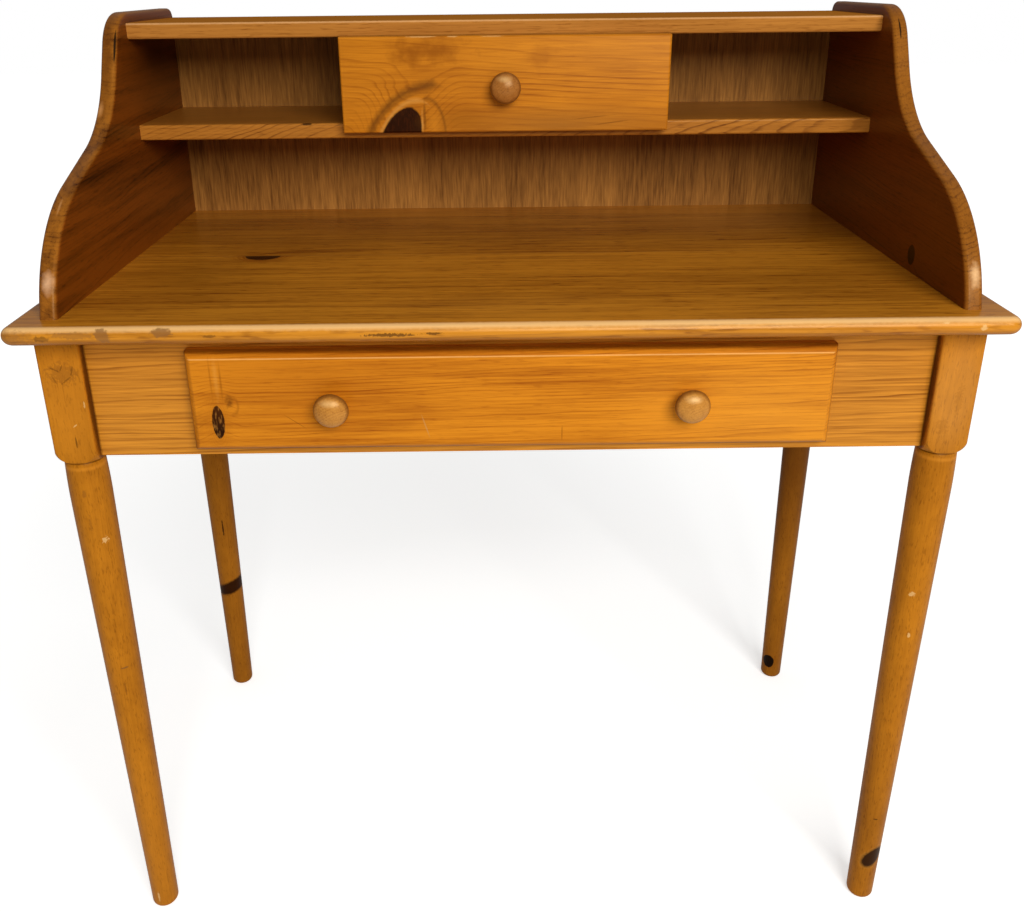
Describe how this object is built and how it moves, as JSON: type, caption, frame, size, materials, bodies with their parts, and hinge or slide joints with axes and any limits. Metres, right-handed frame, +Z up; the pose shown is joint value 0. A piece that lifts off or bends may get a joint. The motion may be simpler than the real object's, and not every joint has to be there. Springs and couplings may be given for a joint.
{
  "type": "writing desk",
  "caption": "Pine writing desk on turned tapered legs, with a wide drawer and a raised back unit with scalloped sides, pigeonholes and a small drawer.",
  "frame": {"origin": "on the floor, under the middle of the desktop", "axes": "+X to the right of someone who sits at the desk, +Y to the back, +Z up; the drawers open towards -Y"},
  "size_m": [0.92, 0.509, 1.012],
  "materials": {
    "frame_pine": "satin lacquer over amber stain",
    "gallery_pine": "satin lacquer over amber stain",
    "front_pine": "satin lacquer over amber stain",
    "knob_wood": "satin lacquer",
    "raw_pine": "planed, unfinished",
    "plywood": "thin lacquer over rotary-cut veneer",
    "steel": "zinc plated"
  },
  "bodies": {
    "desk": {"desktop": "frame_pine", "leg_front_left": "frame_pine", "leg_front_right": "frame_pine", "leg_rear_left": "frame_pine", "leg_rear_right": "frame_pine", "front_apron": "frame_pine", "rear_apron": "frame_pine", "left_apron": "frame_pine", "right_apron": "frame_pine", "apron_dowels": "raw_pine", "corner_blocks": "raw_pine", "hanger_bolts": "steel", "bolt_washers": "steel", "bolt_nuts": "steel", "block_screws": "steel", "drawer_runner_left": "raw_pine", "drawer_runner_right": "raw_pine", "tilt_rail_left": "raw_pine", "tilt_rail_right": "raw_pine", "gallery_side_left": "gallery_pine", "gallery_side_right": "gallery_pine", "gallery_shelf": "gallery_pine", "gallery_cap": "gallery_pine", "divider_left": "gallery_pine", "divider_right": "gallery_pine", "gallery_back": "plywood", "side_screws": "steel", "gallery_dowels": "raw_pine", "back_pins": "steel"},
    "main_drawer": {"drawer_front": "front_pine", "drawer_side_left": "raw_pine", "drawer_side_right": "raw_pine", "drawer_back": "raw_pine", "drawer_bottom": "plywood", "drawer_dowels": "raw_pine", "drawer_knob_left": "knob_wood", "drawer_knob_right": "knob_wood", "drawer_knob_screws": "steel"},
    "small_drawer": {"small_drawer_front": "front_pine", "small_drawer_side_left": "raw_pine", "small_drawer_side_right": "raw_pine", "small_drawer_back": "raw_pine", "small_drawer_bottom": "plywood", "small_drawer_dowels": "raw_pine", "small_drawer_knob": "knob_wood", "small_drawer_knob_screw": "steel"}
  },
  "joints": [
    {"name": "main_drawer_slide", "type": "slide", "parent": "desk", "child": "main_drawer", "axis": [0, -1, 0], "range_m": [0, 0.3]},
    {"name": "small_drawer_slide", "type": "slide", "parent": "desk", "child": "small_drawer", "axis": [0, -1, 0], "range_m": [0, 0.12]}
  ]
}
